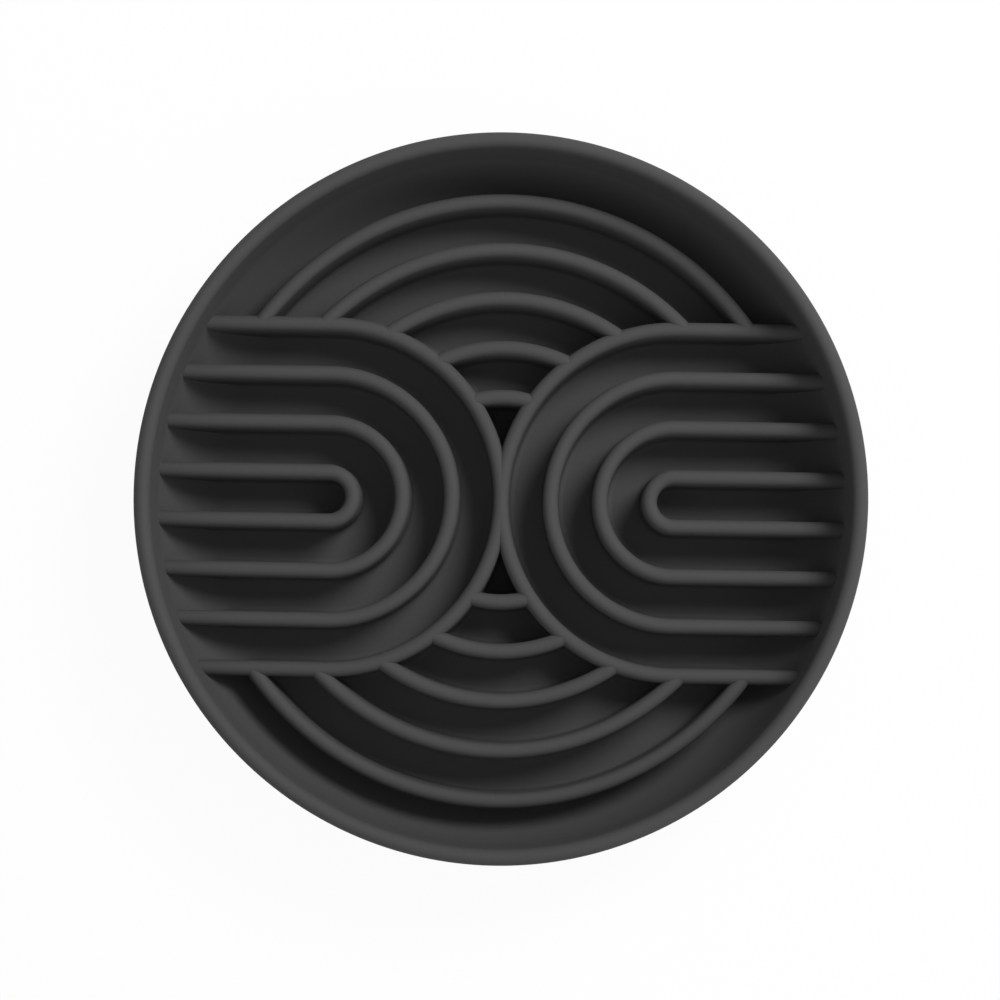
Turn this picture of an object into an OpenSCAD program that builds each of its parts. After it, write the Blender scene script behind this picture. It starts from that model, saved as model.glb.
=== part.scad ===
// Slow feeder bowl: a round bowl whose floor carries a maze of round-topped ridges.
// Nested loops stand left and right, with straight legs that run out into the wall.
// Concentric arcs stand above and below, between the two outermost loops.
// Push-in feet stand under the base.
// Origin: the bowl's axis, on the surface that it stands on. The loops' legs run along X.

/* [Bowl] */
// Outer diameter at the rim
bowl_d = 204; // [180:1:260]
// Height from the surface it stands on to the top of the rim
bowl_h = 35; // [34:0.5:60]
// Thickness of the wall, which ends in a full-round rim
wall_t = 4.6; // [3.6:0.1:6]
// Height of the rim's round above the wall's straight faces
rim_rise = 2.6; // [1.5:0.1:4]
// Outward lean of the wall, in degrees
wall_draft = 1.5; // [0.5:0.5:6]
// Thickness of the floor
floor_t = 3.8; // [3.4:0.1:8]
// Inside radius between the wall and the floor
cove_r = 17; // [10:0.5:20]

/* [Maze] */
// Distance between the middles of neighbouring ridges
ridge_pitch = 14; // [12:0.5:16]
// Width of a ridge across its round top
ridge_w = 4.2; // [3:0.1:6]
// Height of a loop's ridge above the floor
ridge_h = 15; // [10:0.5:24]
// Lean of each side of a ridge, in degrees
ridge_draft = 1; // [0.5:0.5:2]
// Number of nested loops on each side
loop_count = 4; // [3:1:5]
// Number of arcs above and below the middle
arc_count = 5; // [3:1:6]
// Radius of the innermost arc, at the middle of its ridge
arc_first_r = 29; // [26:0.5:36]
// How far the arcs' tops lie below the loops' tops
arc_drop = 0.3; // [0.2:0.1:1]
// Clear channel between the outermost arc and the wall
wall_channel = 9.9; // [6:0.1:14]

/* [Feet] */
// Number of feet
foot_count = 6; // [3:1:8]
// Diameter of a foot's pad
foot_d = 14; // [10:0.5:18]
// How far a pad stands out below the base
foot_proud = 1.2; // [1:0.1:3]
// Chamfer of a pad's lower edge
foot_chamfer = 0.6; // [0.2:0.1:0.9]
// Depth of the recess that a pad sits in
foot_recess = 1.4; // [1:0.1:1.6]
// Diameter of a foot's stem
stem_d = 6; // [4:0.1:8]
// Length of a foot's stem
stem_l = 1.2; // [0.8:0.1:1.4]
// Gap round a pad and a stem in the base
foot_gap = 0.1; // [0.05:0.05:0.3]
// Distance from the edge of the flat base to the middle of a foot
foot_inset = 13; // [10:0.5:20]
// Width of the flat land between the feet and the hollow under the base
land_w = 11; // [6:0.5:16]
// Depth of the hollow under the base
underside_depth = 0.8; // [0.4:0.1:1]

/* [Hidden] */
$fn = 128;

// How far a cutting shape runs past the face that it cuts
past = 1;
// How far a round stands out from the straight lines that run into it, so that they cross cleanly
tuck = 0.005;

bowl_colour = [0.29, 0.29, 0.28];
foot_colour = [0.10, 0.10, 0.10];

function dir(a) = [cos(a), sin(a)];

// Levels above the surface that the bowl stands on
base_z = foot_proud;
floor_z = base_z + floor_t;

// The wall's faces are two parallel lines that run into the round rim
rim_r = wall_t / 2;
rim_c = [bowl_d / 2 - rim_r, bowl_h - rim_rise];
wall_half = rim_r - tuck;
wall_out = dir(-wall_draft);
wall_up = dir(90 - wall_draft);
rim_inner = rim_c - wall_half * wall_out;
rim_outer = rim_c + wall_half * wall_out;

// Middle of a round of radius r that touches the level z and the wall's face at this offset
function corner_middle(offset, r, z) =
    [(rim_c * wall_out + offset - r + (z + r) * sin(wall_draft)) / cos(wall_draft), z + r];

// The outer corner follows the cove, so that the corner is as thick as the wall
corner_r = cove_r + wall_t;
cove_c = corner_middle(-wall_half, cove_r, floor_z);
corner_c = corner_middle(wall_half, corner_r, base_z);
inner_r = cove_c.x + cove_r;

function loop_radius(k) = (k - 0.5) * ridge_pitch;
loop_outer_r = loop_radius(loop_count);

// The arcs are spread evenly from the innermost one out to the channel along the wall
arc_outer_r = inner_r - wall_channel - ridge_w / 2;
function arc_radius(k) = arc_first_r + (k - 1) * (arc_outer_r - arc_first_r) / (arc_count - 1);

foot_ring_r = corner_c.x - foot_inset;
underside_r = foot_ring_r - foot_d / 2 - land_w;
pad_h = foot_proud + foot_recess;

// Turns a round so that its line starts at the bottom, inside the section that it tops
module start_below() {
    rotate(-90) children();
}

// Half section of the bowl's hollow: floor, cove and inner face of the wall, open above the rim
module hollow_section() {
    rim_past = rim_inner + 2 * rim_rise * wall_up;
    open_z = bowl_h + corner_r;
    polygon([
        [0, floor_z],
        [cove_c.x, floor_z],
        cove_c + cove_r * wall_out,
        rim_past,
        [rim_past.x, open_z],
        [0, open_z]
    ]);
    translate(cove_c) circle(cove_r + tuck);
}

// Half section of the bowl as if it were full up to the rim. The outer corner's round stops short of the rim.
module filled_section() {
    polygon([
        [0, base_z],
        [corner_c.x, base_z],
        corner_c + corner_r * wall_out,
        rim_outer,
        rim_inner,
        [0, rim_inner.y]
    ]);
    intersection() {
        translate(corner_c) circle(corner_r + tuck);
        square([bowl_d, rim_c.y - rim_rise / 2]);
    }
    translate(rim_c) scale([1, rim_rise / rim_r]) start_below() circle(rim_r);
}

// Section of a ridge of height h on the level 0, with leaning sides and a round top.
// It runs on below that level, where the bowl's floor cuts it off.
module ridge_section(h) {
    top_r = ridge_w / 2;
    top_c = [0, h - top_r];
    side = (top_r - tuck) * dir(ridge_draft);
    half_base = side.x + (top_c.y + side.y + past) * tan(ridge_draft);
    polygon([
        [-half_base, -past],
        [half_base, -past],
        top_c + side,
        top_c + [-side.x, side.y]
    ]);
    translate(top_c) start_below() circle(top_r);
}

// Sweeps a section, drawn outwards from the loop's middle line, round the left loops' shared path
module loop_path() {
    translate([-loop_outer_r, 0, floor_z]) {
        rotate([0, 0, -90]) rotate_extrude(angle = 180) children();
        for (turn = [0, 1])
            mirror([0, turn, 0]) rotate([90, 0, -90]) mirror([1, 0, 0])
                linear_extrude(bowl_d / 2) children();
    }
}

// The left outermost loop with all that it encloses, up to above the ridges
module loop_block() {
    loop_path() {
        translate([loop_outer_r, 0]) ridge_section(ridge_h);
        translate([0, -past]) square([loop_outer_r - ridge_w / 4, ridge_h + 2 * past]);
    }
}

// One loop of the left side, counted from the inside, cut off where the two sides meet
module left_loop(k) {
    intersection() {
        loop_path() translate([loop_radius(k), 0]) ridge_section(ridge_h);
        rotate_extrude() hollow_section();
        translate([-bowl_d, -bowl_d / 2, 0]) cube([bowl_d, bowl_d, bowl_h]);
    }
}

module maze_loop(side, k) {
    color(bowl_colour)
        mirror([side == "right" ? 1 : 0, 0, 0]) left_loop(k);
}

// One arc, counted from the inside, which ends on the shoulders of the two outermost loops
module maze_arc(half, k) {
    color(bowl_colour)
        mirror([0, half == "lower" ? 1 : 0, 0])
            difference() {
                rotate_extrude(angle = 180) intersection() {
                    translate([arc_radius(k), floor_z]) ridge_section(ridge_h - arc_drop);
                    hollow_section();
                }
                loop_block();
                mirror([1, 0, 0]) loop_block();
            }
}

module at_foot(i) {
    rotate([0, 0, (i - 0.5) * 360 / foot_count]) translate([foot_ring_r, 0, 0]) children();
}

// Recess for a pad, with a hole for its stem
module foot_socket() {
    cylinder(d = foot_d + 2 * foot_gap, h = pad_h);
    cylinder(d = stem_d + 2 * foot_gap, h = pad_h + stem_l + foot_gap);
}

module bowl_shell() {
    color(bowl_colour)
        difference() {
            rotate_extrude() difference() {
                filled_section();
                hollow_section();
                square([underside_r, base_z + underside_depth]);
            }
            for (i = [1 : foot_count]) at_foot(i) foot_socket();
        }
}

module grip_foot(i) {
    color(foot_colour)
        at_foot(i) rotate_extrude() polygon([
            [0, 0],
            [foot_d / 2 - foot_chamfer, 0],
            [foot_d / 2, foot_chamfer],
            [foot_d / 2, pad_h],
            [stem_d / 2, pad_h],
            [stem_d / 2, pad_h + stem_l],
            [0, pad_h + stem_l]
        ]);
}

bowl_shell();
for (side = ["left", "right"], k = [1 : loop_count])
    maze_loop(side, k);
for (half = ["upper", "lower"], k = [1 : arc_count])
    maze_arc(half, k);
for (i = [1 : foot_count])
    grip_foot(i);
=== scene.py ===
"""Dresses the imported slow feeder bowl: moulded shell, maze of ridges, rubber feet and a pale studio.

The file is laid out as an add-on and is run as a script.
"""

import math

import bmesh
import bpy
from mathutils import Matrix, Vector


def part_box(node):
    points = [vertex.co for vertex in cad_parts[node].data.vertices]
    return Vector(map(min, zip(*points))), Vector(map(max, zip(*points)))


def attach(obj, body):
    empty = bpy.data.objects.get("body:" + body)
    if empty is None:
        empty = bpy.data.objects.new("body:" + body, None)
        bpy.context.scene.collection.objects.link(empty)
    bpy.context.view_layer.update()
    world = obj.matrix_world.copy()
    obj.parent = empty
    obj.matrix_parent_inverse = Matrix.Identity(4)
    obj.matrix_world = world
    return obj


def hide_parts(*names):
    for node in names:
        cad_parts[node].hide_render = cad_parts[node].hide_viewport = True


bl_info = {
    "name": "Slow Feeder Bowl",
    "version": (1, 0, 0),
    "blender": (4, 5, 0),
    "location": "View3D > Sidebar > Feeder Bowl",
    "description": "Models a round slow feeder bowl with a maze of ridges on its floor",
    "category": "Add Mesh",
}

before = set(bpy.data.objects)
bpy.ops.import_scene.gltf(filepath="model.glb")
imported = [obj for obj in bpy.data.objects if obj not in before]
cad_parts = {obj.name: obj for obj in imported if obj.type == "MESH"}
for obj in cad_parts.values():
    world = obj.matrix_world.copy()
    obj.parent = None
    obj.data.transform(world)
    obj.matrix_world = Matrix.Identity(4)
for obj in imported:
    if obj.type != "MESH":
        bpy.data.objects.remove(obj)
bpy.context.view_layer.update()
SHELL_LOW, SHELL_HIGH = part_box("bowl_shell")
FOOT_LOW, FOOT_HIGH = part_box("grip_foot_1")

# Vertices closer together than this are one
WELD = 1e-6
# Faces that meet at a steeper angle than this keep a sharp edge between them
SHARP_ANGLE = math.radians(35)
# How far from the bowl's axis a loop's leg ends, at the floor's level and at the ridge's top
LEG_END_LOW = 0.0914
LEG_END_HIGH = 0.0995
# Share of plain white in what the camera sees of the floor; the rest keeps the shadow
FLOOR_GLOW = 0.95
# How quickly a patch of soft light falls off away from its direction, and its height above the horizon
PATCH_FALLOFF = 3
PATCH_HEIGHT = math.radians(25)


class FeederBowlSizes(bpy.types.PropertyGroup):
    """Sizes of the bowl, its ridges and its feet."""

    bowl_radius: bpy.props.FloatProperty(
        name="Bowl radius",
        description="Outside radius at the rim",
        default=SHELL_HIGH.x,
        unit="LENGTH",
    )
    bowl_height: bpy.props.FloatProperty(
        name="Bowl height",
        description="Top of the rim above the surface that the bowl stands on",
        default=SHELL_HIGH.z,
        unit="LENGTH",
    )
    base_height: bpy.props.FloatProperty(
        name="Base height",
        description="Underside of the base above the surface that the bowl stands on",
        default=SHELL_LOW.z,
        unit="LENGTH",
    )
    wall: bpy.props.FloatProperty(
        name="Wall",
        description="Thickness of the wall",
        default=0.0046,
        unit="LENGTH",
    )
    rim_rise: bpy.props.FloatProperty(
        name="Rim rise",
        description="Height of the rim's round above the wall's straight faces",
        default=0.0026,
        unit="LENGTH",
    )
    wall_lean: bpy.props.FloatProperty(
        name="Wall lean",
        description="Outward lean of the wall",
        default=math.radians(1.5),
        subtype="ANGLE",
    )
    floor_thickness: bpy.props.FloatProperty(
        name="Floor thickness",
        description="Thickness of the floor",
        default=0.0038,
        unit="LENGTH",
    )
    cove_radius: bpy.props.FloatProperty(
        name="Cove radius",
        description="Inside radius between the wall and the floor",
        default=0.017,
        unit="LENGTH",
    )
    hollow_radius: bpy.props.FloatProperty(
        name="Hollow radius",
        description="Radius of the shallow hollow under the base",
        default=0.049,
        unit="LENGTH",
    )
    hollow_depth: bpy.props.FloatProperty(
        name="Hollow depth",
        description="Depth of the hollow under the base",
        default=0.0008,
        unit="LENGTH",
    )
    ridge_pitch: bpy.props.FloatProperty(
        name="Ridge pitch",
        description="Distance between the middles of neighbouring loops",
        default=0.014,
        unit="LENGTH",
    )
    ridge_width: bpy.props.FloatProperty(
        name="Ridge width",
        description="Width of a ridge across its round top",
        default=0.0042,
        unit="LENGTH",
    )
    ridge_height: bpy.props.FloatProperty(
        name="Ridge height",
        description="Height of a loop's ridge above the floor",
        default=0.015,
        unit="LENGTH",
    )
    ridge_lean: bpy.props.FloatProperty(
        name="Ridge lean",
        description="Lean of each side of a ridge",
        default=math.radians(1),
        subtype="ANGLE",
    )
    ridge_fillet: bpy.props.FloatProperty(
        name="Ridge fillet",
        description="Radius of the hollow round between a ridge's side and the floor",
        default=0.0016,
        unit="LENGTH",
    )
    loop_count: bpy.props.IntProperty(
        name="Loops",
        description="Number of nested loops on each side",
        default=4,
    )
    arc_count: bpy.props.IntProperty(
        name="Arcs",
        description="Number of arcs above and below the middle",
        default=5,
    )
    arc_first_radius: bpy.props.FloatProperty(
        name="First arc radius",
        description="Radius of the innermost arc",
        default=0.029,
        unit="LENGTH",
    )
    arc_last_radius: bpy.props.FloatProperty(
        name="Last arc radius",
        description="Radius of the outermost arc",
        default=0.085,
        unit="LENGTH",
    )
    arc_drop: bpy.props.FloatProperty(
        name="Arc drop",
        description="How far the arcs' tops lie below the loops' tops",
        default=0.0001,
        unit="LENGTH",
    )
    foot_count: bpy.props.IntProperty(
        name="Feet",
        description="Number of feet under the base",
        default=6,
    )
    foot_recess: bpy.props.FloatProperty(
        name="Foot recess",
        description="Depth of the recess that a foot's pad sits in",
        default=0.0014,
        unit="LENGTH",
    )
    foot_gap: bpy.props.FloatProperty(
        name="Foot gap",
        description="Gap round a foot's pad in its recess",
        default=0.0001,
        unit="LENGTH",
    )
    foot_edge: bpy.props.FloatProperty(
        name="Foot edge",
        description="Radius of the round edge of a foot's pad",
        default=0.0006,
        unit="LENGTH",
    )
    stem_radius: bpy.props.FloatProperty(
        name="Stem radius",
        description="Radius of the stem that holds a foot in the base",
        default=0.003,
        unit="LENGTH",
    )


class FeederBowlFinish(bpy.types.PropertyGroup):
    """Colours and gloss of the bowl's materials."""

    plastic_colour: bpy.props.FloatVectorProperty(
        name="Plastic",
        description="Colour of the moulded bowl",
        default=(0.0705, 0.0703, 0.0698, 1.0),
        size=4,
        subtype="COLOR",
    )
    plastic_shade: bpy.props.FloatVectorProperty(
        name="Plastic shade",
        description="Colour of the darker flecks in the moulded bowl",
        default=(0.0655, 0.0653, 0.0648, 1.0),
        size=4,
        subtype="COLOR",
    )
    plastic_roughness: bpy.props.FloatProperty(
        name="Plastic roughness",
        description="Mean roughness of the moulded bowl",
        default=0.72,
        subtype="FACTOR",
    )
    plastic_shine: bpy.props.FloatProperty(
        name="Plastic shine",
        description="Specular level of the moulded bowl",
        default=0.1,
        subtype="FACTOR",
    )
    rubber_colour: bpy.props.FloatVectorProperty(
        name="Rubber",
        description="Colour of the feet",
        default=(0.0120, 0.0120, 0.0120, 1.0),
        size=4,
        subtype="COLOR",
    )
    rubber_shade: bpy.props.FloatVectorProperty(
        name="Rubber bloom",
        description="Colour of the pale bloom on the feet",
        default=(0.0220, 0.0218, 0.0212, 1.0),
        size=4,
        subtype="COLOR",
    )


class FeederBowlStage(bpy.types.PropertyGroup):
    """Camera, lights and floor."""

    camera_place: bpy.props.FloatVectorProperty(
        name="Camera",
        description="Place of the camera",
        default=(0.0140, -0.0450, 0.7706),
        subtype="TRANSLATION",
        unit="LENGTH",
    )
    camera_turn: bpy.props.FloatVectorProperty(
        name="Camera turn",
        description="Turn of the camera, which looks straight down where it is nil",
        default=(math.radians(3.424), math.radians(1.022), math.radians(1.062)),
        subtype="EULER",
    )
    camera_lens: bpy.props.FloatProperty(
        name="Lens",
        description="Focal length in millimetres",
        default=95.92,
    )
    key_azimuth: bpy.props.FloatProperty(
        name="Key azimuth",
        description="Direction that the key light comes from, from +X towards +Y",
        default=math.radians(43),
        subtype="ANGLE",
    )
    key_elevation: bpy.props.FloatProperty(
        name="Key elevation",
        description="Height of the key light above the horizon",
        default=math.radians(47),
        subtype="ANGLE",
    )
    key_size: bpy.props.FloatProperty(
        name="Key size",
        description="How wide the key light looks from the bowl",
        default=math.radians(24),
        subtype="ANGLE",
    )
    key_distance: bpy.props.FloatProperty(
        name="Key distance",
        description="Distance of the key light from the middle of the bowl",
        default=1.1,
        unit="LENGTH",
    )
    key_strength: bpy.props.FloatProperty(
        name="Key strength",
        description="Light that reaches the middle of the bowl, in watts per square metre",
        default=2.42,
    )
    overhead_strength: bpy.props.FloatProperty(
        name="Overhead strength",
        description="Strength of the soft light from overhead",
        default=0.18,
    )
    right_strength: bpy.props.FloatProperty(
        name="Right strength",
        description="Strength of the soft light from the right",
        default=0.86,
    )
    left_strength: bpy.props.FloatProperty(
        name="Left strength",
        description="Strength of the soft light from the left",
        default=0.46,
    )
    front_strength: bpy.props.FloatProperty(
        name="Front strength",
        description="Strength of the soft light from the front",
        default=0.69,
    )


def only(kind, geom):
    """The parts of one kind in an operator's result."""
    return [part for part in geom if isinstance(part, kind)]


class Pen:
    """Draws a half section in the XZ plane, one stroke after another."""

    def __init__(self, bm, start):
        self.bm = bm
        self.first = bm.verts.new((start[0], 0, start[1]))
        self.tip = self.first

    def line_to(self, end):
        """Draws a straight line."""
        made = bmesh.ops.extrude_vert_indiv(self.bm, verts=[self.tip])
        self.tip = made["verts"][0]
        self.tip.co = (end[0], 0, end[1])

    def arc(self, centre, turn, steps, rise=1):
        """Draws an arc, anticlockwise with X to the right and Z up, its height times rise."""
        middle = Vector((centre[0], 0, centre[1]))
        before = set(self.bm.verts)
        made = bmesh.ops.spin(
            self.bm, geom=[self.tip], cent=middle, axis=(0, -1, 0), angle=turn, steps=steps
        )
        drawn = [v for v in self.bm.verts if v not in before]
        bmesh.ops.scale(
            self.bm, vec=(1, 1, rise), space=Matrix.Translation(-middle), verts=drawn
        )
        self.tip = only(bmesh.types.BMVert, made["geom_last"])[0]

    def close(self):
        """Draws a straight line back to the start."""
        self.bm.edges.new((self.tip, self.first))


class BowlSection:
    """Levels and places in the bowl's half section."""

    def __init__(self, sizes):
        half = sizes.wall / 2
        lean = sizes.wall_lean
        self.wall_out = Vector((math.cos(lean), -math.sin(lean)))
        self.base_z = sizes.base_height
        self.floor_z = sizes.base_height + sizes.floor_thickness
        self.rim = Vector((sizes.bowl_radius - half, sizes.bowl_height - sizes.rim_rise))
        self.rim_outer = self.rim + half * self.wall_out
        self.corner_radius = sizes.cove_radius + sizes.wall
        self.corner = self.corner_middle(lean, half, self.corner_radius, self.base_z)
        self.cove = self.corner_middle(lean, -half, sizes.cove_radius, self.floor_z)
        self.cove_top = self.cove + sizes.cove_radius * self.wall_out

    def corner_middle(self, lean, offset, radius, level):
        """Middle of a round that touches a level and the wall's face at this offset."""
        across = self.rim.dot(self.wall_out) + offset - radius + (level + radius) * math.sin(lean)
        return Vector((across / math.cos(lean), level + radius))


def revolve(bm, steps):
    """Turns all that is drawn right round the Z axis."""
    bmesh.ops.spin(
        bm,
        geom=bm.verts[:] + bm.edges[:],
        cent=(0, 0, 0),
        axis=(0, 0, 1),
        angle=math.tau,
        steps=steps,
        use_merge=True,
    )
    bmesh.ops.remove_doubles(bm, verts=bm.verts, dist=WELD)
    bmesh.ops.dissolve_degenerate(bm, edges=bm.edges, dist=WELD)


def cut_off(bm, point, normal):
    """Cuts away what lies beyond a plane, and closes the cut."""
    bmesh.ops.bisect_plane(
        bm,
        geom=bm.verts[:] + bm.edges[:] + bm.faces[:],
        dist=WELD,
        plane_co=point,
        plane_no=normal,
        clear_outer=True,
    )
    bmesh.ops.holes_fill(bm, edges=[e for e in bm.edges if e.is_boundary])


def new_mesh(bm, name, material):
    """Makes a mesh object of a bmesh, with its faces outwards and its hard edges sharp."""
    bmesh.ops.remove_doubles(bm, verts=bm.verts, dist=WELD)
    bmesh.ops.recalc_face_normals(bm, faces=bm.faces)
    for face in bm.faces:
        face.smooth = True
    mesh = bpy.data.meshes.new(name)
    bm.to_mesh(mesh)
    bm.free()
    mesh.set_sharp_from_angle(angle=SHARP_ANGLE)
    mesh.materials.append(material)
    made = bpy.data.objects.new(name, mesh)
    bpy.context.scene.collection.objects.link(made)
    return made


def stand_for(piece, node):
    """Puts a piece in the place of a node of the frame."""
    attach(piece, "root")
    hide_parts(node)


def cut_away(piece, cutter):
    """Cuts one object's shape out of another's, and deletes the cutter."""
    cut = piece.modifiers.new("cut", "BOOLEAN")
    cut.operation = "DIFFERENCE"
    cut.solver = "EXACT"
    cut.object = cutter
    whole = piece.data
    seen = piece.evaluated_get(bpy.context.evaluated_depsgraph_get())
    piece.data = bpy.data.meshes.new_from_object(seen)
    piece.modifiers.remove(cut)
    bpy.data.objects.remove(cutter)
    bpy.data.meshes.remove(whole)
    piece.data.set_sharp_from_angle(angle=SHARP_ANGLE)


def ridge_section(bm, sizes, level, middle, height):
    """Draws the section of a ridge, at this distance from the Z axis and on this level."""
    lean = sizes.ridge_lean
    side = math.pi / 2 - lean
    radius = sizes.ridge_width / 2
    fillet = sizes.ridge_fillet
    # The fillets end a little below the floor, so that no edge lies exactly in it
    dip = 0.00002
    sink = 0.0004
    top = Vector((middle, level + height - radius))
    out = Vector((math.cos(lean), math.sin(lean)))
    back = Vector((-out.x, out.y))
    foot_z = level - dip + fillet
    reach = (radius + fillet - (foot_z - top.y) * out.y) / out.x
    right_foot = Vector((middle + reach, foot_z))
    left_foot = Vector((middle - reach, foot_z))
    pen = Pen(bm, top + radius * back)
    pen.arc(top, -2 * side, steps=16)
    pen.line_to(right_foot - fillet * out)
    pen.arc(right_foot, side, steps=6)
    pen.line_to((right_foot.x, level - sink))
    pen.line_to((left_foot.x, level - sink))
    pen.line_to((left_foot.x, level - dip))
    pen.arc(left_foot, side, steps=6)
    pen.close()


def extend(bm, edges, step):
    """Draws edges out into faces, by one straight step."""
    made = bmesh.ops.extrude_edge_only(bm, edges=edges)
    bmesh.ops.translate(bm, vec=step, verts=only(bmesh.types.BMVert, made["geom"]))


def loop_ridge(sizes, section, count):
    """One loop of the left side, counted from the inside."""
    radius = (count - 0.5) * sizes.ridge_pitch
    outer = (sizes.loop_count - 0.5) * sizes.ridge_pitch
    leg = Vector((-sizes.bowl_radius, 0, 0))
    bm = bmesh.new()
    ridge_section(bm, sizes, section.floor_z, radius, sizes.ridge_height)
    bmesh.ops.rotate(
        bm, cent=(0, 0, 0), matrix=Matrix.Rotation(-math.pi / 2, 3, "Z"), verts=bm.verts
    )
    start = bm.edges[:]
    bend = bmesh.ops.spin(
        bm, geom=start, cent=(0, 0, 0), axis=(0, 0, 1), angle=math.pi, steps=96
    )
    extend(bm, only(bmesh.types.BMEdge, bend["geom_last"]), leg)
    extend(bm, start, leg)
    bmesh.ops.translate(bm, vec=(-outer, 0, 0), verts=bm.verts)
    # The legs end inside the wall, on a plane that leans as the cove does
    for side in (-1, 1):
        across = side * radius / LEG_END_HIGH
        direction = Vector((-math.sqrt(1 - across * across), across, 0))
        rise = Vector((0, 0, sizes.ridge_height))
        slope = (LEG_END_HIGH - LEG_END_LOW) * direction + rise
        along = direction.cross(Vector((0, 0, 1)))
        point = LEG_END_LOW * direction + Vector((0, 0, section.floor_z))
        normal = along.cross(slope)
        if normal.dot(direction) < 0:
            normal.negate()
        cut_off(bm, point, normal)
    cut_off(bm, (0, 0, 0), (1, 0, 0))
    return bm


def arc_ridge(sizes, section, count):
    """One arc above the middle, counted from the inside."""
    spread = (sizes.arc_last_radius - sizes.arc_first_radius) / (sizes.arc_count - 1)
    radius = sizes.arc_first_radius + (count - 1) * spread
    loop = (sizes.loop_count - 0.5) * sizes.ridge_pitch
    if radius > math.sqrt(2) * loop:
        # The arc ends on the loops' straight legs
        end = math.asin(loop / radius)
        inwards = Vector((0, -1, 0))
    else:
        # The arc ends on the loops' bends
        end = math.acos(radius / (2 * loop))
        inwards = Vector((loop - radius * math.cos(end), -radius * math.sin(end), 0))
    # The arc starts and stops well inside the loops, and is then cut off at their middle lines
    spare = 1.5 * sizes.ridge_width / radius
    bm = bmesh.new()
    height = sizes.ridge_height - sizes.arc_drop
    ridge_section(bm, sizes, section.floor_z, radius, height)
    bmesh.ops.rotate(
        bm, cent=(0, 0, 0), matrix=Matrix.Rotation(end - spare, 3, "Z"), verts=bm.verts
    )
    bmesh.ops.spin(
        bm,
        geom=bm.edges[:],
        cent=(0, 0, 0),
        axis=(0, 0, 1),
        angle=math.pi - 2 * (end - spare),
        steps=96,
    )
    for side in (-1, 1):
        point = Vector((side * radius * math.cos(end), radius * math.sin(end), 0))
        cut_off(bm, point, Vector((side * inwards.x, inwards.y, 0)))
    return bm


def mirrored(bm, flip):
    """Mirrors a shape by a scale of 1 or -1 along each axis."""
    bmesh.ops.scale(bm, vec=flip, verts=bm.verts)
    return bm


def shell_shape(sizes, section):
    """The bowl without its ridges and foot sockets."""
    wall_turn = math.pi / 2 - sizes.wall_lean
    half = sizes.wall / 2
    hollow_z = section.base_z + sizes.hollow_depth
    bm = bmesh.new()
    pen = Pen(bm, (0, hollow_z))
    pen.line_to((sizes.hollow_radius - sizes.hollow_depth, hollow_z))
    pen.line_to((sizes.hollow_radius, section.base_z))
    pen.line_to((section.corner.x, section.base_z))
    pen.arc(section.corner, wall_turn, steps=24)
    pen.line_to(section.rim_outer)
    pen.arc(section.rim, math.pi, steps=28, rise=sizes.rim_rise / half)
    pen.line_to(section.cove_top)
    pen.arc(section.cove, -wall_turn, steps=24)
    pen.line_to((0, section.floor_z))
    revolve(bm, steps=256)
    return bm


def foot_middles(sizes):
    """The middle of each foot, on the surface that the bowl stands on."""
    for count in range(1, sizes.foot_count + 1):
        low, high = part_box(f"grip_foot_{count}")
        middle = (low + high) / 2
        yield count, Vector((middle.x, middle.y, 0))


def socket_shape(sizes, section):
    """The sockets of all the feet, as one shape to cut out of the base."""
    pad_radius = (FOOT_HIGH.x - FOOT_LOW.x) / 2 + sizes.foot_gap
    pad_top = section.base_z + sizes.foot_recess
    # The mouth of a socket is chamfered
    lip = 0.0003
    bm = bmesh.new()
    for count, middle in foot_middles(sizes):
        one = bmesh.new()
        pen = Pen(one, (0, section.base_z - lip))
        pen.line_to((pad_radius + 2 * lip, section.base_z - lip))
        pen.line_to((pad_radius, section.base_z + lip))
        pen.line_to((pad_radius, pad_top))
        pen.line_to((0, pad_top))
        revolve(one, steps=64)
        bmesh.ops.translate(one, vec=middle, verts=one.verts)
        scratch = bpy.data.meshes.new("socket")
        one.to_mesh(scratch)
        one.free()
        bm.from_mesh(scratch)
        bpy.data.meshes.remove(scratch)
    return bm


def foot_shape(sizes, section, middle):
    """One rubber foot, a pad with a round edge and a stem."""
    pad_radius = (FOOT_HIGH.x - FOOT_LOW.x) / 2
    pad_top = section.base_z + sizes.foot_recess
    edge = sizes.foot_edge
    bm = bmesh.new()
    pen = Pen(bm, (0, 0))
    pen.line_to((pad_radius - edge, 0))
    pen.arc((pad_radius - edge, edge), math.pi / 2, steps=8)
    pen.line_to((pad_radius, pad_top))
    pen.line_to((sizes.stem_radius, pad_top))
    pen.line_to((sizes.stem_radius, FOOT_HIGH.z))
    pen.line_to((0, FOOT_HIGH.z))
    revolve(bm, steps=96)
    bmesh.ops.translate(bm, vec=middle, verts=bm.verts)
    return bm


def new_group(name, inputs, outputs):
    """A shader node group with named sockets, and its two end nodes."""
    group = bpy.data.node_groups.new(name, "ShaderNodeTree")
    for socket, kind, default in inputs:
        made = group.interface.new_socket(socket, in_out="INPUT", socket_type=kind)
        if default is not None:
            made.default_value = default
    for socket, kind in outputs:
        group.interface.new_socket(socket, in_out="OUTPUT", socket_type=kind)
    return group, group.nodes.new("NodeGroupInput"), group.nodes.new("NodeGroupOutput")


def noise(tree, place, scale, detail, roughness):
    """A noise texture at a place, with a linked or a fixed scale."""
    node = tree.nodes.new("ShaderNodeTexNoise")
    node.inputs["Detail"].default_value = detail
    node.inputs["Roughness"].default_value = roughness
    tree.links.new(place, node.inputs["Vector"])
    if isinstance(scale, bpy.types.NodeSocket):
        tree.links.new(scale, node.inputs["Scale"])
    else:
        node.inputs["Scale"].default_value = scale
    return node.outputs["Fac"]


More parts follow.
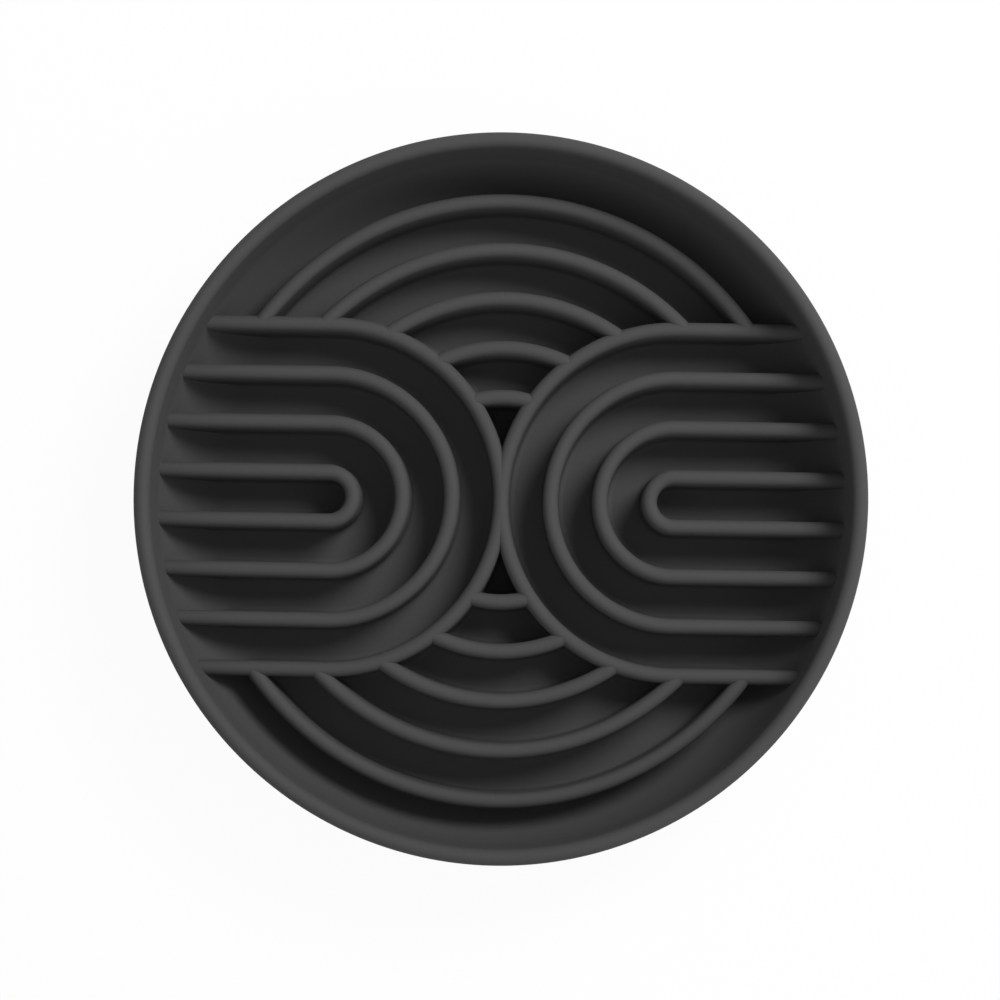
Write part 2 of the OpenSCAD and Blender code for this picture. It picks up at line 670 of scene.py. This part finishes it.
def remap(tree, value, old, new):
    """A value moved from one range to another, and held inside it."""
    node = tree.nodes.new("ShaderNodeMapRange")
    tree.links.new(value, node.inputs["Value"])
    node.inputs["From Min"].default_value = old[0]
    node.inputs["From Max"].default_value = old[1]
    node.inputs["To Min"].default_value = new[0]
    node.inputs["To Max"].default_value = new[1]
    return node.outputs["Result"]


def moulding_grain():
    """Node group: the fine sparked texture of a mould, as a height and as flecks."""
    known = bpy.data.node_groups.get("moulding_grain")
    if known:
        return known
    group, entry, leave = new_group(
        "moulding_grain",
        [("Place", "NodeSocketVector", None), ("Scale", "NodeSocketFloat", 2500.0)],
        [("Height", "NodeSocketFloat"), ("Flecks", "NodeSocketFloat")],
    )
    grain = noise(group, entry.outputs["Place"], entry.outputs["Scale"], detail=3, roughness=0.55)
    group.links.new(remap(group, grain, (0.3, 0.7), (0, 1)), leave.inputs["Height"])
    group.links.new(remap(group, grain, (0.42, 0.62), (0, 1)), leave.inputs["Flecks"])
    return group


def handling_marks():
    """Node group: broad, faint differences in gloss from moulding, washing and handling."""
    known = bpy.data.node_groups.get("handling_marks")
    if known:
        return known
    group, entry, leave = new_group(
        "handling_marks",
        [("Place", "NodeSocketVector", None), ("Scale", "NodeSocketFloat", 40.0)],
        [("Gloss", "NodeSocketFloat"), ("Tone", "NodeSocketFloat")],
    )
    broad = noise(group, entry.outputs["Place"], entry.outputs["Scale"], detail=4, roughness=0.6)
    group.links.new(remap(group, broad, (0.35, 0.65), (0, 1)), leave.inputs["Gloss"])
    cloudy = noise(group, entry.outputs["Place"], entry.outputs["Scale"], detail=1, roughness=0.4)
    group.links.new(remap(group, cloudy, (0.3, 0.7), (0, 1)), leave.inputs["Tone"])
    return group


def place_group(tree, group, place, scale):
    """Puts a shared node group in a material, with its own scale."""
    node = tree.nodes.new("ShaderNodeGroup")
    node.node_tree = group
    tree.links.new(place, node.inputs["Place"])
    node.inputs["Scale"].default_value = scale
    return node.outputs


def mix_colours(tree, share, first, second):
    """A colour between two, by a share."""
    node = tree.nodes.new("ShaderNodeMix")
    node.data_type = "RGBA"
    tree.links.new(share, node.inputs["Factor"])
    for name, value in (("A", first), ("B", second)):
        socket = next(s for s in node.inputs if s.name == name and s.type == "RGBA")
        if isinstance(value, bpy.types.NodeSocket):
            tree.links.new(value, socket)
        else:
            socket.default_value = value
    return next(s for s in node.outputs if s.type == "RGBA")


def moulded_material(name, main, shade, grain_scale, marks_scale, roughness, shine, grain_depth):
    """A moulded material: flecked colour, uneven gloss and a fine grain."""
    known = bpy.data.materials.get(name)
    if known:
        return known
    material = bpy.data.materials.new(name)
    material.use_nodes = True
    tree = material.node_tree
    shader = tree.nodes["Principled BSDF"]
    place = tree.nodes.new("ShaderNodeTexCoord").outputs["Object"]
    grain = place_group(tree, moulding_grain(), place, grain_scale)
    marks = place_group(tree, handling_marks(), place, marks_scale)
    # How much of the shade the cloudy parts take on, and how far the gloss strays from its mean
    cloud = 0.3
    stray = 0.04
    flecked = mix_colours(tree, grain["Flecks"], shade, main)
    clouded = mix_colours(tree, remap(tree, marks["Tone"], (0, 1), (0, cloud)), flecked, shade)
    tree.links.new(clouded, shader.inputs["Base Color"])
    gloss = remap(tree, marks["Gloss"], (0, 1), (roughness - stray, roughness + stray))
    tree.links.new(gloss, shader.inputs["Roughness"])
    shader.inputs["Specular IOR Level"].default_value = shine
    bump = tree.nodes.new("ShaderNodeBump")
    bump.inputs["Distance"].default_value = grain_depth
    bump.inputs["Strength"].default_value = 1.0
    tree.links.new(grain["Height"], bump.inputs["Height"])
    tree.links.new(bump.outputs["Normal"], shader.inputs["Normal"])
    return material


def bowl_plastic(finish):
    """Charcoal plastic with a fine satin grain."""
    return moulded_material(
        "charcoal_plastic",
        main=finish.plastic_colour,
        shade=finish.plastic_shade,
        grain_scale=2600,
        marks_scale=35,
        roughness=finish.plastic_roughness,
        shine=finish.plastic_shine,
        grain_depth=0.000008,
    )


def foot_rubber(finish):
    """Black rubber with a pale bloom."""
    return moulded_material(
        "black_rubber",
        main=finish.rubber_shade,
        shade=finish.rubber_colour,
        grain_scale=1800,
        marks_scale=120,
        roughness=0.75,
        shine=0.3,
        grain_depth=0.00003,
    )


def maths(tree, operation, first, second):
    """The result of a sum on two values, each linked or fixed."""
    node = tree.nodes.new("ShaderNodeMath")
    node.operation = operation
    for socket, value in zip(node.inputs, (first, second)):
        if isinstance(value, bpy.types.NodeSocket):
            tree.links.new(value, socket)
        else:
            socket.default_value = value
    return node.outputs["Value"]


def mix_shaders(tree, share, first, second):
    """A shader between two, by a share."""
    node = tree.nodes.new("ShaderNodeMixShader")
    tree.links.new(share, node.inputs["Fac"])
    tree.links.new(first, node.inputs[1])
    tree.links.new(second, node.inputs[2])
    return node.outputs["Shader"]


def backdrop_rays(tree):
    """1 for the rays that show the backdrop, straight or in a reflection, and 0 for all others."""
    path = tree.nodes.new("ShaderNodeLightPath").outputs
    reflected = maths(tree, "MAXIMUM", path["Is Glossy Ray"], path["Is Transmission Ray"])
    return maths(tree, "MAXIMUM", path["Is Camera Ray"], reflected)


def floor_material():
    """White where it is seen, plain white paint for all other light, and clear from below."""
    material = bpy.data.materials.new("pale_floor")
    material.use_nodes = True
    tree = material.node_tree
    tree.nodes.remove(tree.nodes["Principled BSDF"])
    paint = tree.nodes.new("ShaderNodeBsdfDiffuse")
    paint.inputs["Color"].default_value = (0.9, 0.9, 0.9, 1)
    glow = tree.nodes.new("ShaderNodeEmission")
    clear = tree.nodes.new("ShaderNodeBsdfTransparent")
    share = maths(tree, "MULTIPLY", backdrop_rays(tree), FLOOR_GLOW)
    seen = mix_shaders(tree, share, paint.outputs["BSDF"], glow.outputs["Emission"])
    below = tree.nodes.new("ShaderNodeNewGeometry").outputs["Backfacing"]
    surface = mix_shaders(tree, below, seen, clear.outputs["BSDF"])
    tree.links.new(surface, tree.nodes["Material Output"].inputs["Surface"])
    return material


def pale_floor():
    """A wide white floor that keeps a faint shadow and can be seen through from below."""
    bm = bmesh.new()
    bmesh.ops.create_circle(bm, cap_ends=True, segments=96, radius=30)
    floor = new_mesh(bm, "pale_floor", floor_material())


def key_light(settings):
    """A round soft lamp at the upper right."""
    flat = math.cos(settings.key_elevation)
    towards = Vector((
        flat * math.cos(settings.key_azimuth),
        flat * math.sin(settings.key_azimuth),
        math.sin(settings.key_elevation),
    ))
    distance = settings.key_distance
    lamp = bpy.data.lights.new("key_light", "AREA")
    lamp.shape = "DISK"
    lamp.size = 2 * distance * math.tan(settings.key_size / 2)
    lamp.energy = settings.key_strength * math.pi * distance**2
    key = bpy.data.objects.new("key_light", lamp)
    key.location = distance * towards
    key.rotation_euler = towards.to_track_quat("Z", "Y").to_euler()
    bpy.context.scene.collection.objects.link(key)


def sky_patch(tree, place, towards, strength):
    """A soft patch of light in one direction, which falls off to nothing at right angles to it."""
    near = tree.nodes.new("ShaderNodeVectorMath")
    near.operation = "DOT_PRODUCT"
    tree.links.new(place, near.inputs[0])
    near.inputs[1].default_value = towards
    facing = maths(tree, "MAXIMUM", near.outputs["Value"], 0)
    return maths(tree, "MULTIPLY", maths(tree, "POWER", facing, PATCH_FALLOFF), strength)


def soft_sky(scene, settings):
    """Soft light from overhead, from both sides and from the front, before a white backdrop."""
    world = bpy.data.worlds.new("soft_sky")
    world.use_nodes = True
    tree = world.node_tree
    place = tree.nodes.new("ShaderNodeTexCoord").outputs["Generated"]
    out = math.cos(PATCH_HEIGHT)
    up = math.sin(PATCH_HEIGHT)
    light = sky_patch(tree, place, (0, 0, 1), settings.overhead_strength)
    for towards, strength in (
        ((out, 0, up), settings.right_strength),
        ((-out, 0, up), settings.left_strength),
        ((0, -out, up), settings.front_strength),
    ):
        light = maths(tree, "ADD", light, sky_patch(tree, place, towards, strength))
    sky = tree.nodes["Background"]
    tree.links.new(light, sky.inputs["Strength"])
    sky.inputs["Color"].default_value = (1, 1, 1, 1)
    white = tree.nodes.new("ShaderNodeBackground")
    white.inputs["Color"].default_value = (1, 1, 1, 1)
    both = mix_shaders(tree, backdrop_rays(tree), sky.outputs["Background"], white.outputs["Background"])
    tree.links.new(both, tree.nodes["World Output"].inputs["Surface"])
    scene.world = world


def photo_camera(scene, settings):
    """A camera that looks down on the bowl from the photograph's place."""
    lens = bpy.data.cameras.new("photo_camera")
    lens.sensor_width = 36
    lens.lens = settings.camera_lens
    lens.clip_start = 0.01
    lens.clip_end = 100
    camera = bpy.data.objects.new("photo_camera", lens)
    camera.location = settings.camera_place
    camera.rotation_euler = settings.camera_turn
    scene.collection.objects.link(camera)
    scene.camera = camera


class FEEDER_OT_bowl_shell(bpy.types.Operator):
    """Model the bowl's shell: rim, wall, cove, floor and base"""

    bl_idname = "feeder.bowl_shell"
    bl_label = "Bowl shell"

    def execute(self, context):
        sizes = context.scene.feeder_bowl_sizes
        plastic = bowl_plastic(context.scene.feeder_bowl_finish)
        section = BowlSection(sizes)
        shell = new_mesh(shell_shape(sizes, section), "moulded_shell", plastic)
        cut_away(shell, new_mesh(socket_shape(sizes, section), "foot_sockets", plastic))
        stand_for(shell, "bowl_shell")
        return {"FINISHED"}


class FEEDER_OT_loop_ridges(bpy.types.Operator):
    """Model the nested loops on the left and the right"""

    bl_idname = "feeder.loop_ridges"
    bl_label = "Loop ridges"

    def execute(self, context):
        sizes = context.scene.feeder_bowl_sizes
        plastic = bowl_plastic(context.scene.feeder_bowl_finish)
        section = BowlSection(sizes)
        for side, flip in (("left", (1, 1, 1)), ("right", (-1, 1, 1))):
            for count in range(1, sizes.loop_count + 1):
                shape = mirrored(loop_ridge(sizes, section, count), flip)
                ridge = new_mesh(shape, f"{side}_loop_ridge_{count}", plastic)
                stand_for(ridge, f"{side}_loop_{count}")
        return {"FINISHED"}


class FEEDER_OT_arc_ridges(bpy.types.Operator):
    """Model the arcs above and below the middle"""

    bl_idname = "feeder.arc_ridges"
    bl_label = "Arc ridges"

    def execute(self, context):
        sizes = context.scene.feeder_bowl_sizes
        plastic = bowl_plastic(context.scene.feeder_bowl_finish)
        section = BowlSection(sizes)
        for half, flip in (("upper", (1, 1, 1)), ("lower", (1, -1, 1))):
            for count in range(1, sizes.arc_count + 1):
                shape = mirrored(arc_ridge(sizes, section, count), flip)
                ridge = new_mesh(shape, f"{half}_arc_ridge_{count}", plastic)
                stand_for(ridge, f"{half}_arc_{count}")
        return {"FINISHED"}


class FEEDER_OT_grip_feet(bpy.types.Operator):
    """Model the rubber feet under the base"""

    bl_idname = "feeder.grip_feet"
    bl_label = "Grip feet"

    def execute(self, context):
        sizes = context.scene.feeder_bowl_sizes
        rubber = foot_rubber(context.scene.feeder_bowl_finish)
        section = BowlSection(sizes)
        for count, middle in foot_middles(sizes):
            foot = new_mesh(foot_shape(sizes, section, middle), f"rubber_foot_{count}", rubber)
            stand_for(foot, f"grip_foot_{count}")
        return {"FINISHED"}


class FEEDER_OT_stage(bpy.types.Operator):
    """Set up the floor, the lights and the camera"""

    bl_idname = "feeder.stage"
    bl_label = "Stage"

    def execute(self, context):
        settings = context.scene.feeder_bowl_stage
        context.scene.view_settings.view_transform = "Standard"
        pale_floor()
        key_light(settings)
        soft_sky(context.scene, settings)
        photo_camera(context.scene, settings)
        return {"FINISHED"}


STEPS = (
    FEEDER_OT_stage,
    FEEDER_OT_bowl_shell,
    FEEDER_OT_loop_ridges,
    FEEDER_OT_arc_ridges,
    FEEDER_OT_grip_feet,
)

SETTINGS = {
    "feeder_bowl_sizes": FeederBowlSizes,
    "feeder_bowl_finish": FeederBowlFinish,
    "feeder_bowl_stage": FeederBowlStage,
}


class VIEW3D_PT_feeder_bowl(bpy.types.Panel):
    """Lists the steps that make the bowl, and the sizes and colours they use"""

    bl_label = "Slow Feeder Bowl"
    bl_idname = "VIEW3D_PT_feeder_bowl"
    bl_space_type = "VIEW_3D"
    bl_region_type = "UI"
    bl_category = "Feeder Bowl"

    def draw(self, context):
        for step in STEPS:
            self.layout.operator(step.bl_idname)
        for name in SETTINGS:
            group = getattr(context.scene, name)
            box = self.layout.box()
            for prop in type(group).__annotations__:
                box.prop(group, prop)


def register():
    for name, group in SETTINGS.items():
        bpy.utils.register_class(group)
        setattr(bpy.types.Scene, name, bpy.props.PointerProperty(type=group))
    for step in STEPS:
        bpy.utils.register_class(step)
    bpy.utils.register_class(VIEW3D_PT_feeder_bowl)


def unregister():
    bpy.utils.unregister_class(VIEW3D_PT_feeder_bowl)
    for step in reversed(STEPS):
        bpy.utils.unregister_class(step)
    for name, group in reversed(SETTINGS.items()):
        delattr(bpy.types.Scene, name)
        bpy.utils.unregister_class(group)


def main():
    register()
    bpy.ops.feeder.stage()
    bpy.ops.feeder.bowl_shell()
    bpy.ops.feeder.loop_ridges()
    bpy.ops.feeder.arc_ridges()
    bpy.ops.feeder.grip_feet()
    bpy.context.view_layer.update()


if __name__ == "__main__":
    main()
